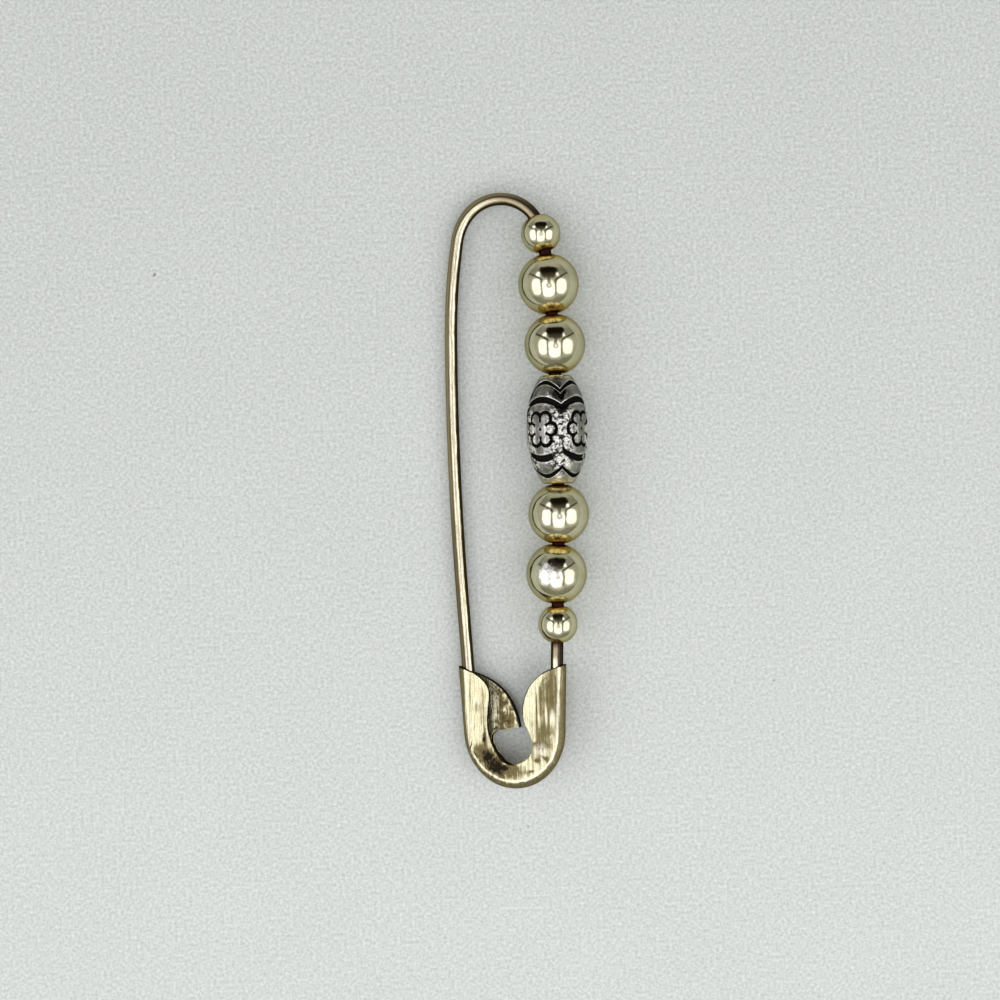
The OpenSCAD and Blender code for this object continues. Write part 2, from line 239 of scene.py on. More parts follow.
def card_finish():
    finish, tree, shader = new_finish("grey_card", Roughness=0.75, Specular_IOR_Level=0.2)
    place = coordinates(tree)
    grain = noise(tree, place, 2400, 2.0, 0.7)
    cloud = noise(tree, place, 60, 3.0, 0.55)
    shade = plus(tree, times(tree, grain, 0.95), times(tree, cloud, 0.06))
    lengthways = add(tree, "ShaderNodeSeparateXYZ", {0: place}).outputs["Y"]
    # painted light: the card is painted lighter towards the clasp's end, where the windows are
    painted_window_light = times(tree, rise(tree, lengthways, 0.09, -0.09), 0.17)
    tone = plus(tree, plus(tree, shade, painted_window_light), 0.45)
    colour = add(tree, "ShaderNodeVectorMath", {0: CARD, "Scale": tone}, operation="SCALE").outputs[0]
    cells = {"Vector": coordinates(tree, (1.0, 0.7, 1.0)), "Scale": 210.0, "Randomness": 1.0}
    dust = add(tree, "ShaderNodeTexVoronoi", cells, distance="EUCLIDEAN")
    near = plus(tree, dust.outputs["Distance"], times(tree, noise(tree, place, 2500, 2.0), 0.09))
    draw = add(tree, "ShaderNodeSeparateColor", {0: dust.outputs["Color"]}).outputs[0]
    chosen = rise(tree, draw, 0.968, 0.975)
    speck = times(tree, times(tree, rise(tree, near, 0.105, 0.075), chosen), 0.75)
    tree.links.new(blend_colour(tree, speck, colour, SPECK), shader.inputs["Base Color"])
    tree.links.new(bump(tree, grain, 0.00004), shader.inputs["Normal"])
    return finish


def make_table():
    half = TABLE_SIZE / 2
    corners = [(-half, -half, 0), (half, -half, 0), (half, half, 0), (-half, half, 0)]
    mesh = bpy.data.meshes.new("table")
    mesh.from_pydata(corners, [], [(0, 1, 2, 3)])
    table = bpy.data.objects.new("table", mesh)
    bpy.context.scene.collection.objects.link(table)
    mesh.materials.append(card_finish())


make_table()


# The wire: one round drawn wire, bent over at the top into a spine and a pin arm, and ground to a
# long point. It is brass with an antique pale gold plating, drawn with fine lengthways lines,
# browner at the bend. Its sides, its neck among the beads and the pin under the last bead are
# painted dark, partly as tarnish and partly as painted shade and reflection. The brooch lies
# tipped over on its row of beads and its clasp's rim.
TILT = math.radians(12.9262)
LEAN = math.radians(0.4689)
ORIGIN = (4.63977, -11.08655, 4.0)
CROWN = (-6.3838, 49.6064)
WIRE_R = 0.825
PIN_ARCS = [(5.75, 79.1), (64.8806, 7.9), (399.0157, 4.9)]
SPINE_ARCS = [(5.54875, 55.3), (7.36, 25.6), (86.94, 8.4), (460.6523, 4.3)]
ARM_L = 64.8806
PIN_END = ARM_L + 10
SPINE_END = 62.2 + 9
POINT_L = 4.2
POINT_R = 0.06
CUT_L = 0.3
CUT_ROUNDING = 0.15
WIRE_STEP = 0.25
WIRE_SIDES = 32
ARC_STEPS = 6000
PALE_GOLD = (0.86, 0.80, 0.54)
LINE_GOLD = (0.41, 0.36, 0.22)
BROWN_AND_BEAD_SHADE = (0.31, 0.255, 0.14)
PIT_BROWN = (0.14, 0.10, 0.06)
TARNISH_AND_SHADE = (0.31, 0.265, 0.145)
CLASP_END_TARNISH_AND_SHADE = (0.18, 0.15, 0.08)
PIN_SIDE_TARNISH_AND_SHADE = (0.035, 0.027, 0.018)
SEAM_SHADE = (0.085, 0.065, 0.034)
REFLECTED_GAP_TONE = (0.40, 0.36, 0.25)
INNER_TARNISH_AND_SHADE = (0.045, 0.034, 0.018)
NECK_TARNISH_AND_SHADE = (0.028, 0.009, 0.006)


def laid(x, y, w):
    """From the brooch's own flat plane, in millimetres with w across the plane, to where it lies
    in metres: turned about Y by the tilt, then moved to the origin."""
    c, s = math.cos(TILT), math.sin(TILT)
    return np.stack([x * c - w * s + ORIGIN[0], y + ORIGIN[1], x * s + w * c + ORIGIN[2]], -1) / 1000


def skin(name, grid, ring=False, **shades):
    """A closed mesh over a grid of points in rows and columns. Each row joins up on itself; the
    rows join up too where ring is true, and otherwise a fan closes the first and the last row
    round their middles. Shades are values for each point, which the finish reads by name."""
    rows, cols = grid.shape[:2]
    points = grid.reshape(-1, 3)
    i = np.arange(rows if ring else rows - 1)[:, None]
    k = np.arange(cols)[None, :]
    here, right = i * cols + k, i * cols + (k + 1) % cols
    below, across = (i + 1) % rows * cols + k, (i + 1) % rows * cols + (k + 1) % cols
    faces = np.stack([here, right, across, below], -1).reshape(-1, 4)
    a, b, c, d = (points[faces[:, j]] for j in range(4))
    outward = np.sum(np.cross(c - a, d - b) * (a - points.mean(0))) > 0
    faces = (faces if outward else faces[:, ::-1]).tolist()
    values = {shade: np.asarray(value, float).reshape(rows * cols, -1) for shade, value in shades.items()}
    if not ring:
        for row, turned in ((0, outward), (rows - 1, not outward)):
            fan = row * cols + np.arange(cols)
            pole = len(points)
            points = np.vstack([points, points[fan].mean(0)])
            values = {shade: np.vstack([value, value[fan].mean(0)]) for shade, value in values.items()}
            first, second = (np.roll(fan, -1), fan) if turned else (fan, np.roll(fan, -1))
            faces += np.stack([first, second, np.full(cols, pole)], -1).tolist()
    mesh = bpy.data.meshes.new(name)
    mesh.from_pydata(points.tolist(), [], faces)
    for shade, value in values.items():
        wide = value.shape[1] == 3
        layer = mesh.attributes.new(shade, "FLOAT_VECTOR" if wide else "FLOAT", "POINT")
        layer.data.foreach_set("vector" if wide else "value", value.ravel())
    mesh.polygons.foreach_set("use_smooth", np.ones(len(mesh.polygons), bool))
    mesh.update()
    piece = bpy.data.objects.new(name, mesh)
    bpy.context.scene.collection.objects.link(piece)
    return piece


def along_arcs(arcs, heading, turn, stops):
    """Places at given distances along a chain of arcs: the heading turns evenly along each arc and
    stays after the last, and the place is the running sum of its cosine and sine."""
    fine = np.linspace(0, stops[-1], ARC_STEPS)
    ends = np.cumsum([0] + [r * math.radians(a) for r, a in arcs])
    turned = np.cumsum([0] + [math.radians(a) for r, a in arcs])
    h = heading + turn * np.interp(fine, ends, turned)
    step = fine[1] - fine[0]
    x = CROWN[0] + np.concatenate([[0], np.cumsum((np.cos(h[1:]) + np.cos(h[:-1])) / 2 * step)])
    y = CROWN[1] + np.concatenate([[0], np.cumsum((np.sin(h[1:]) + np.sin(h[:-1])) / 2 * step)])
    return np.interp(stops, fine, x), np.interp(stops, fine, y), np.interp(stops, fine, h)


def wire_grid():
    """The wire's surface: at each place along its middle a circle square to it, whose radius is the
    wire's own, falling along the point as the square root of one minus the share ground away squared,
    and drawn in a little at the cut end. Its side value is how far the surface leans level outwards
    as the brooch lies, from 1 on the outside of the loop through 0 on top to -1 on the inside."""
    spine = np.arange(WIRE_STEP, SPINE_END, WIRE_STEP)
    spine = np.append(spine, SPINE_END)
    point = PIN_END - POINT_L * (1 - np.linspace(0, 1, 24) ** 0.7)
    pin = np.append(np.arange(0, PIN_END - POINT_L, WIRE_STEP), point)
    sx, sy, sh = along_arcs(SPINE_ARCS, math.pi - LEAN, 1, spine)
    px, py, ph = along_arcs(PIN_ARCS, -LEAN, -1, pin)
    x = np.concatenate([sx[::-1], px])
    y = np.concatenate([sy[::-1], py])
    heading = np.concatenate([sh[::-1] - math.pi, ph])
    place = np.concatenate([-spine[::-1], pin])
    ground = np.clip((pin - (PIN_END - POINT_L)) / POINT_L, 0, 1)
    cut = np.clip((SPINE_END - spine[::-1]) / CUT_L, 0, 1)
    r = np.concatenate([WIRE_R - CUT_ROUNDING * (1 - cut) ** 2,
                        POINT_R + (WIRE_R - POINT_R) * np.sqrt(1 - ground ** 2)])
    a = np.linspace(0, 2 * math.pi, WIRE_SIDES, endpoint=False)[None, :]
    out = r[:, None] * np.cos(a)
    grid = laid(x[:, None] - out * np.sin(heading)[:, None], y[:, None] + out * np.cos(heading)[:, None],
                r[:, None] * np.sin(a))
    round_place = np.stack([np.cos(a) + 0 * out, np.sin(a) + 0 * out, 0 * out + place[:, None] / WIRE_R], -1)
    level = np.hypot(np.sin(heading) * math.cos(TILT), np.cos(heading))[:, None]
    tipped = (np.sin(heading) * math.cos(TILT) * math.sin(TILT))[:, None] / level
    side = np.cos(a) * level + np.sin(a) * tipped
    return grid, round_place, 0 * out + place[:, None], side


def shade_value(tree, name, kind="Fac"):
    """A piece's own value at a point, by name."""
    return add(tree, "ShaderNodeAttribute", attribute_name=name).outputs[kind]


def wire_finish():
    finish, tree, shader = new_finish("drawn_gold_wire", Metallic=1.0, Specular_Tint=(0.55, 0.50, 0.38, 1))
    place = shade_value(tree, "round_place", "Vector")
    lines = noise(tree, stretched(tree, place, 7, 7, 0.16), 1.0, 3.0, 0.6)
    cloud = noise(tree, stretched(tree, place, 1.2, 1.2, 0.5), 1.0, 3.0, 0.6)
    pits = noise(tree, stretched(tree, place, 6, 6, 3), 1.0, 2.0, 0.5)
    along = shade_value(tree, "along")
    ragged = times(tree, minus(tree, cloud, 0.5), 0.35)
    side = plus(tree, shade_value(tree, "side"), times(tree, minus(tree, lines, 0.5), 0.25))
    bend = times(tree, rise(tree, along, -7, 3), rise(tree, along, 14, 9))
    # painted shade: the pin is also painted brown just below the last small bead, where the bead's shade and
    # dark reflection fall
    bend = larger(tree, bend, times(tree, rise(tree, along, 60, 61), rise(tree, along, 64.5, 63.5)))
    brown_and_shade = plus(tree, times(tree, bend, 0.95), times(tree, rise(tree, cloud, 0.5, 0.8), 0.35))
    pale = blend_colour(tree, rise(tree, lines, 0.36, 0.58), LINE_GOLD, PALE_GOLD)
    colour = blend_colour(tree, brown_and_shade, pale, BROWN_AND_BEAD_SHADE)
    colour = blend_colour(tree, times(tree, rise(tree, pits, 0.62, 0.72), 0.7), colour, PIT_BROWN)
    # painted shade and reflection, partly tarnish: the wire's outer side is painted dark olive, black along
    # the pin arm and darker near the clasp's end
    outer_tarnish_and_shade = blend_colour(tree, rise(tree, along, -38, -50), TARNISH_AND_SHADE, CLASP_END_TARNISH_AND_SHADE)
    outer_tarnish_and_shade = blend_colour(tree, rise(tree, along, 0, 6), outer_tarnish_and_shade, PIN_SIDE_TARNISH_AND_SHADE)
    outwards = plus(tree, side, plus(tree, times(tree, rise(tree, along, -9, -2), 0.22), 0.12))
    outer = rise(tree, plus(tree, outwards, ragged), 0.36, 0.56)
    colour = blend_colour(tree, outer, colour, outer_tarnish_and_shade)
    # painted shade: a dark line painted between the outer band and the highlight
    seam_shade = minus(tree, 1, times(tree, size_of(tree, minus(tree, outwards, 0.56)), 4.2))
    colour = blend_colour(tree, times(tree, rise(tree, seam_shade, 0, 0.8), 0.9), colour, SEAM_SHADE)
    # painted reflection: a darker line along the top of the wire, where the gap between two window panels
    # would show
    reflected_gap = minus(tree, 1, times(tree, size_of(tree, plus(tree, side, 0.10)), 7))
    colour = blend_colour(tree, times(tree, rise(tree, reflected_gap, 0, 1), 0.5), colour, REFLECTED_GAP_TONE)
    # painted shade, partly tarnish: the wire's inner side is painted nearly black, narrower from near the
    # bend on
    inwards = plus(tree, side, times(tree, rise(tree, along, -18, -5), 0.14))
    inner = rise(tree, plus(tree, inwards, ragged), -0.40, -0.60)
    colour = blend_colour(tree, inner, colour, INNER_TARNISH_AND_SHADE)
    # painted shade, partly tarnish: the wire among the beads and just under the last small bead is painted
    # dark brown
    neck_tarnish_and_shade = times(tree, rise(tree, along, 7.5, 8.5), rise(tree, along, 63.0, 61.8))
    colour = blend_colour(tree, neck_tarnish_and_shade, colour, NECK_TARNISH_AND_SHADE)
    tree.links.new(colour, shader.inputs["Base Color"])
    film = larger(tree, larger(tree, outer, inner), neck_tarnish_and_shade)
    dull = plus(tree, times(tree, lines, 0.14), plus(tree, times(tree, brown_and_shade, 0.10), 0.12))
    tree.links.new(plus(tree, dull, times(tree, film, 0.18)), shader.inputs["Roughness"])
    tree.links.new(bump(tree, plus(tree, lines, times(tree, pits, 0.5)), 0.00002), shader.inputs["Normal"])
    return finish


def make_wire():
    grid, round_place, along, side = wire_grid()
    wire = skin("bent_wire", grid, round_place=round_place, along=along, side=side)
    wire.data.materials.append(wire_finish())
    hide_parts("spine_wire", "pin_wire")
    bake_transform(wire)


make_wire()


# The gold beads: four large and two small hollow balls of thin brass, plated in bright champagne
# gold under a clear lacquer, and drilled through. The plating has browned round the holes, where it
# is also painted with warm reflection and dark shade, and the last large bead is worn through to
# white metal on top.
BALL_R = 4.0
SMALL_BALL_R = 2.6
BALL_HOLE_R = 1.05
SMALL_HOLE_R = 1.125
LIP = 0.12
BEAD_TURNS = 128
BEADS = [("top_small_bead", SMALL_BALL_R, SMALL_HOLE_R, 8.08254, -0.35, 5, 0),
         ("first_round_bead", BALL_R, BALL_HOLE_R, 14.8601, -0.5, 0, 0),
         ("second_round_bead", BALL_R, BALL_HOLE_R, 22.8053, 0.8, 0, 0),
         ("third_round_bead", BALL_R, BALL_HOLE_R, 45.0504, 0.1, 0, 0.15),
         ("fourth_round_bead", BALL_R, BALL_HOLE_R, 52.9205, -0.9, 0, 1),
         ("bottom_small_bead", SMALL_BALL_R, SMALL_HOLE_R, 59.5481, 0.2, 0, 0)]
GOLD = (0.62, 0.585, 0.405)
DULL_GOLD = (0.50, 0.49, 0.315)
AMBER_AND_REFLECTED_GOLD = (0.59, 0.49, 0.22)
BURNT_GOLD_AND_SHADE = (0.36, 0.165, 0.075)
WORN_WHITE = (0.80, 0.79, 0.75)


def drilled_profile(r, hole):
    """Half of a ball's section as a closed loop of distance from the hole's middle and height
    along it: the arc of the ball, a quarter round into the hole, the hole, and out again."""
    top = math.sqrt(r * r - (hole + LIP) ** 2)
    edge = math.asin((hole + LIP) / r)
    arc = np.linspace(edge, math.pi - edge, 88)
    turn = np.linspace(0, math.pi / 2, 6)[1:]
    through = np.linspace(LIP - top, top - LIP, 10)[1:-1]
    out = np.concatenate([r * np.sin(arc), hole + LIP - LIP * np.sin(turn), hole + 0 * through,
                          hole + LIP - LIP * np.cos(turn[:-1])])
    up = np.concatenate([r * np.cos(arc), LIP - top - LIP * np.cos(turn), through,
                         top - LIP + LIP * np.sin(turn[:-1])])
    return out, up


def set_on_wire(across, along, depth, stop, side, cant):
    """From a bead's own frame, across and along its hole with depth towards the viewer, to where
    it sits: its middle is moved off the wire's by its share of the play in the hole."""
    x, y, heading = (float(v[-1]) for v in along_arcs(PIN_ARCS, -LEAN, -1, np.array([0, stop])))
    turn = heading + math.pi / 2 + math.radians(cant)
    x, y = x - side * math.sin(heading), y + side * math.cos(heading)
    c, s = math.cos(turn), math.sin(turn)
    return laid(x + across * c - along * s, y + across * s + along * c, depth)


def ball_finish():
    finish, tree, shader = new_finish("champagne_gold_plate", Metallic=1.0,
                                      Specular_Tint=(0.62, 0.57, 0.42, 1))
    place = coordinates(tree)
    end = shade_value(tree, "end")
    wear = shade_value(tree, "wear")
    cloud = noise(tree, place, 420, 3.0, 0.55)
    fine = noise(tree, place, 2600, 3.0, 0.6)
    dents = noise(tree, place, 1000, 1.0, 0.5)
    gold = blend_colour(tree, rise(tree, cloud, 0.3, 0.7), DULL_GOLD, GOLD)
    reach = plus(tree, end, times(tree, minus(tree, cloud, 0.5), 0.16))
    # painted reflection, partly browned plating: the poles are painted amber towards the holes
    amber_and_reflection = rise(tree, reach, 0.58, 0.92)
    colour = blend_colour(tree, amber_and_reflection, gold, AMBER_AND_REFLECTED_GOLD)
    # painted shade, partly browned plating: the holes' rims are painted dark brown
    burnt_and_shade = rise(tree, reach, 0.93, 1.04)
    colour = blend_colour(tree, burnt_and_shade, colour, BURNT_GOLD_AND_SHADE)
    worn = times(tree, wear, rise(tree, fine, 0.36, 0.58))
    colour = blend_colour(tree, worn, colour, WORN_WHITE)
    tree.links.new(colour, shader.inputs["Base Color"])
    dull = plus(tree, times(tree, worn, 0.22), plus(tree, times(tree, cloud, 0.06), 0.065))
    tree.links.new(plus(tree, dull, times(tree, amber_and_reflection, 0.12)), shader.inputs["Roughness"])
    height = plus(tree, plus(tree, cloud, dents), times(tree, times(tree, fine, wear), 1.5))
    tree.links.new(bump(tree, height, 0.000022), shader.inputs["Normal"])
    return finish


def make_ball(node, r, hole, stop, side, cant, wear, finish):
    """A ball's surface: its section carried round the hole. Its end value grows from 0 at the
    middle to 1 at the holes, and its wear is 1 in the middle of a patch on top."""
    out, up = drilled_profile(r, hole)
    a = np.linspace(0, 2 * math.pi, BEAD_TURNS, endpoint=False)[:, None]
    across, depth, along = out * np.sin(a), out * np.cos(a), up + 0 * a
    grid = set_on_wire(across, along, depth, stop, side * (hole - WIRE_R), cant)
    aside, ahead = (across / r + 0.12) / 0.42, (along / r - 0.05) / 0.42
    patch = np.exp(-(aside ** 2 + ahead ** 2) ** 2) * (depth > 0) * wear
    ball = skin(node + "_plated", grid, ring=True, end=np.abs(along) / up.max(), wear=patch)
    ball.data.materials.append(finish)
    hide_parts(node)
    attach(ball, "pin_arm")


plate = ball_finish()
for bead in BEADS:
    make_ball(*bead, plate)


# The barrel bead: a casting of old silver, swollen in the middle, with four panels round it. Each
# panel has a raised flower of six petals between two pairs of arches, sunk lines filled with
# blackening, and a worn, bright, pitted skin between them.
BARREL_L = 14.2
BARREL_R = 4.025
BARREL_END_R = 2.0
BARREL_STOP = 33.9953
BARREL_POWER = 2.4
RELIEF = 0.32
END_ROUNDING = 0.12
ROUNDED_FROM = 0.985
FLOWER_R = 2.15
GROOVE_W = 0.45
PANEL_TURN = 21
BARREL_TURNS = 400
BARREL_ROWS = 216
SILVER = (0.34, 0.335, 0.297)
DULL_SILVER = (0.20, 0.197, 0.175)
BRIGHT_SILVER_AND_HIGHLIGHT = (0.86, 0.85, 0.74)
CREAM = (0.66, 0.60, 0.39)
GRIME = (0.04, 0.038, 0.034)
BLACKENING = (0.012, 0.011, 0.010)


def soft(t):
    """The smooth step t * t * (3 - 2 t) of t held between 0 and 1."""
    t = np.clip(t, 0, 1)
    return t * t * (3 - 2 * t)


def groove(distance, width):
    """1 in the middle of a sunk line, falling smoothly to 0 past half its width."""
    return 1 - soft((np.abs(distance) - width * 0.25) / (width * 0.3))


def past_flower(x, y):
    """How far each place is outside the flower's outline, and less than 0 inside it: a round middle
    joined to six round petals."""
    petal = 0.29 * FLOWER_R
    past = np.hypot(x, y) - 0.46 * FLOWER_R
    ring = FLOWER_R - petal
    for t in np.radians(np.arange(0, 360, 60)):
        past = np.minimum(past, np.hypot(x - ring * math.cos(t), y - ring * math.sin(t)) - petal)
    return past


def arches(a):
    """How far from the bead's middle the inner and the outer arch stand at an angle from a panel's
    middle, as shares of half the bead's length: each is a level line raised by a cosine."""
    bow = np.clip(np.cos(np.radians(a * 2)), 0, None) ** 0.8
    return 0.385 + 0.155 * bow, 0.69 + 0.17 * bow


def carved(a, x, y, widen=1.0):
    """How deep the casting is sunk, from 0 to 1, at an angle a in degrees from a panel's middle
    and distances x round the bead and y along it: the deepest of the lines of two arches, the
    line round the flower, the notches between its petals, its centre dot, and at the upper end the
    wedge between neighbouring arches. The arches' lines are made wider by a factor."""
    h = np.abs(y) / (BARREL_L / 2)
    inner, outer = arches(a)
    edge = past_flower(x, y)
    notch = np.abs(np.sin(3 * np.arctan2(y, x) + math.pi / 2)) * np.hypot(x, y) / 3
    notch = groove(notch, GROOVE_W * 0.45) * soft((np.hypot(x, y) - 0.85) / 0.3) * (edge < 0) * 0.6
    e = 1 - np.abs(a) / 45
    wedge = soft((h - 0.5 - 0.6 * e) / 0.03) * soft((outer - 0.05 - h) / 0.03) * (y > 0)
    lines = [groove((h - inner) * BARREL_L / 2, GROOVE_W * 2 * widen), notch, wedge,
             groove((h - outer) * BARREL_L / 2, GROOVE_W * 1.2 * widen),
             groove(edge - GROOVE_W / 2, GROOVE_W), groove(np.hypot(x, y), GROOVE_W * 0.8)]
    return np.max(lines, axis=0)


def barrel_shades(a, y, sunk):
    """What the finish reads at each place: how black the sunk lines are, which the lower inner arch
    is less to each side; grime in the corners under the arches; how pitted the skin is, more
    towards the corners; and painted highlights on the crests beside the arches' lines and on the
    petals' sides."""
    h, corner = np.abs(y) / (BARREL_L / 2), soft((np.abs(a) - 14) / 26)
    x = BARREL_R * np.radians(a)
    past, (inner, outer) = past_flower(x, y), arches(a)
    crest = np.clip(carved(a, x, y, 1.6) - sunk, 0, 1)
    crest = np.maximum(crest, (past < -0.05) * soft((np.abs(a) - 7) / 8) * soft((1.1 - y) / 0.8))
    under = (inner - h) / (0.06 + 0.26 * corner)
    grime = corner * (1 - soft((under - 0.2) / 0.9)) * (under > 0) * np.where(y > 0, 1.2, 0.4)
    under = (outer - 0.05 - h) / (0.03 + 0.19 * corner)
    outer_grime = corner * (1 - soft((under - 0.3) / 0.8)) * (under > 0) * np.where(y > 0, 1.2, 0.3)
    broken = np.where(a > 0, 0.88 * soft((a - 14) / 12), 0.6 * corner)
    black = sunk * (1 - broken * (y < 0) * (h < 0.55) * (past > GROOVE_W))
    rough = soft((np.abs(a) - 10) / 20) * np.where(y > 0, soft((0.42 - h) / 0.1), soft((0.80 - h) / 0.1))
    return black, np.maximum(grime, outer_grime), rough, crest


def barrel_grid():
    """The barrel's surface: its section is a radius that falls from the middle as the height to a
    power, less a little at the middle of each panel, less the relief and the rounding of its end;
    then a flat end, the hole, and the other end. It is carried round the hole."""
    half = BARREL_L / 2
    turn = np.linspace(0, 360, BARREL_TURNS, endpoint=False)[:, None]
    y = np.linspace(-1, 1, BARREL_ROWS)[None, :] * half
    a = (turn - PANEL_TURN + 360) % 90 - 45
    r = BARREL_R - (BARREL_R - BARREL_END_R) * (np.abs(y) / half) ** BARREL_POWER
    r = r * (1 - 0.03 * (1 + np.cos(np.radians(a * 4))) / 2)
    sunk = carved(a, r * np.radians(a), y)
    rounding = END_ROUNDING * (np.clip(np.abs(y) / half - ROUNDED_FROM, 0, 1) / (1 - ROUNDED_FROM)) ** 2
    r = r - RELIEF * sunk - rounding
    face = BALL_HOLE_R + (r[:, -1:] - BALL_HOLE_R) * np.linspace(1, 0, 6)[None, 1:]
    hole = np.linspace(half, -half, 8)[None, 1:-1]
    out = np.hstack([r, face, BALL_HOLE_R + 0 * turn + 0 * hole, face[:, ::-1]])
    up = np.hstack([y + 0 * turn, half + 0 * face, hole + 0 * turn, -half + 0 * face])
    flat = np.zeros((BARREL_TURNS, out.shape[1] - BARREL_ROWS))
    shades = [np.hstack([value, flat]) for value in barrel_shades(a, y, sunk)]
    a = np.radians(turn)
    grid = set_on_wire(out * np.sin(a), up, out * np.cos(a), BARREL_STOP, 0, 0)
    return grid, *shades, up / half


def silver_finish():
    finish, tree, shader = new_finish("old_silver_casting", Metallic=1.0, Specular_Tint=(0.55, 0.55, 0.53, 1))
    place = coordinates(tree)
    sunk = shade_value(tree, "sunk")
    rough = shade_value(tree, "rough")
    pits = noise(tree, place, 2000, 3.0, 0.65)
    cloud = noise(tree, place, 700, 3.0, 0.6)
    ragged = plus(tree, times(tree, rough, 0.7), 0.4)
    edge = plus(tree, sunk, times(tree, minus(tree, pits, 0.5), ragged))
    black = rise(tree, edge, 0.03, 0.24)
    silver = blend_colour(tree, rise(tree, cloud, 0.3, 0.7), DULL_SILVER, SILVER)
    # painted highlight: the crests beside the arches' lines and the petals' sides are painted bright silver,
    # as is the worn pitted skin
    bright = larger(tree, times(tree, shade_value(tree, "crest"), 0.9),
                  times(tree, rough, rise(tree, pits, 0.58, 0.46)))
    silver = blend_colour(tree, bright, silver, BRIGHT_SILVER_AND_HIGHLIGHT)
    grime = times(tree, rise(tree, pits, 0.50, 0.57), plus(tree, times(tree, rough, 0.80), 0.20))
    left_black = plus(tree, shade_value(tree, "grime"), times(tree, minus(tree, pits, 0.5), 2.2))
    left_black = rise(tree, left_black, 0.55, 0.95)
    end = shade_value(tree, "end")
    cream = larger(tree, rise(tree, end, -0.80, -0.90), rise(tree, end, 0.90, 0.98))
    silver = blend_colour(tree, times(tree, cream, 0.8), silver, CREAM)
    colour = blend_colour(tree, times(tree, grime, 0.9), silver, GRIME)
    black = larger(tree, black, times(tree, left_black, 0.98))
    colour = blend_colour(tree, black, colour, BLACKENING)
    tree.links.new(colour, shader.inputs["Base Color"])
    dull = plus(tree, times(tree, black, 0.45), plus(tree, times(tree, cloud, 0.12), 0.10))
    tree.links.new(dull, shader.inputs["Roughness"])
    height = plus(tree, times(tree, pits, plus(tree, times(tree, rough, 4.5), 0.5)), cloud)
    tree.links.new(bump(tree, height, 0.00010), shader.inputs["Normal"])
    return finish


def make_barrel():
    grid, sunk, grime, rough, crest, end = barrel_grid()
    barrel = skin("barrel_casting", grid, ring=True, sunk=sunk, grime=grime, rough=rough, crest=crest,
                  end=end)
    barrel.data.materials.append(silver_finish())
    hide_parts("barrel_bead")
    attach(barrel, "pin_arm")


make_barrel()


# The clasp: one piece of thin brass sheet, stamped out and folded in half round its rim, so that
# it holds the spine wire for good and leaves a channel for the pin's point. The front is cut to
# two lobes round a keyhole, and the back runs up to a guard tongue on the spine's side.
CLASP_H = 16.3
CLASP_W = 7.2569
HALF_MOUTH = 6.0119
MOUTH = (-6.3039, -11.9583)
CLASP_TURN = math.radians(0.381)
RIM_LEAN = math.radians(2.75)
JOIN = math.radians(3.16)
BOTTOM_A, BOTTOM_B, BOTTOM_Y = 5.589, 6.427, -8.628
RIM_R = 1.245
HOLLOW_R = 0.885
LIP_REACH = 0.18
FACE_COLS = 60
EDGE_COLS = 7
BRIGHT_CUT_SPAN = (-13.2, -6.5)
TONGUE_FOOT = -8.35
FINE_TONGUE = -8.1
FINE_MOUTH = 1.2
BRUSHED_GOLD = (0.81, 0.755, 0.475)
BRUSHED_DARK = (0.50, 0.455, 0.265)
YELLOWED = (0.66, 0.59, 0.31)
OLIVE_FILM_AND_SHADE = (0.165, 0.135, 0.052)
RUBBED_GOLD_AND_HIGHLIGHT = (0.80, 0.76, 0.62)
DIRT_AND_SHADE = (0.070, 0.050, 0.022)
BLACK_SPOT_AND_SHADE = (0.022, 0.017, 0.010)
FRONT_EDGE = [(-1, 0), (-0.85, -0.018), (-0.68, -0.052), (-0.517, -0.107), (-0.427, -0.17), (-0.404, -0.24),
              (-0.43, -0.33), (-0.456, -0.44), (-0.44, -0.54), (-0.355, -0.658), (-0.22, -0.757),
              (-0.04, -0.796), (0.16, -0.772), (0.3, -0.72), (0.35, -0.645), (0.315, -0.57), (0.225, -0.47),
              (0.192, -0.385), (0.217, -0.285), (0.344, -0.161), (0.582, -0.064), (0.8, -0.024), (1, 0)]
TONGUE_EDGE = [(-1, 0), (-0.74, -0.054), (-0.51, -0.098), (-0.318, -0.152), (-0.155, -0.224), (-0.03, -0.315),
               (0.06, -0.417), (0.104, -0.509)]
BACK_EDGE = [(-0.13, -0.526), (-0.32, -0.535), (-0.405, -0.572), (-0.41, -0.63), (-0.31, -0.715),
             (-0.17, -0.785), (0, -0.812), (0.17, -0.79), (0.32, -0.735), (0.375, -0.65), (0.34, -0.57),
             (0.25, -0.47), (0.217, -0.385), (0.242, -0.285), (0.369, -0.161), (0.6, -0.064),
             (0.81, -0.024), (1, 0)]


def smooth_edge(table):
    """A smooth curve through a table of places, each span a cubic from its four nearest ones, in
    millimetres from shares of the clasp's half width and height."""
    p = np.array(table) * (CLASP_W, CLASP_H)
    p = np.vstack([p[:1], p, p[-1:]])
    t = np.linspace(0, 1, 12, endpoint=False)[None, :, None]
    a, b, c, d = (p[j:len(p) - 3 + j][:, None, :] for j in range(4))
    curve = b + (c - a) * t / 2 + (a * 2 - b * 5 + c * 4 - d) * t ** 2 / 2
    curve += (b * 3 - a - c * 3 + d) * t ** 3 / 2
    return np.vstack([curve.reshape(-1, 2), p[-1:]])


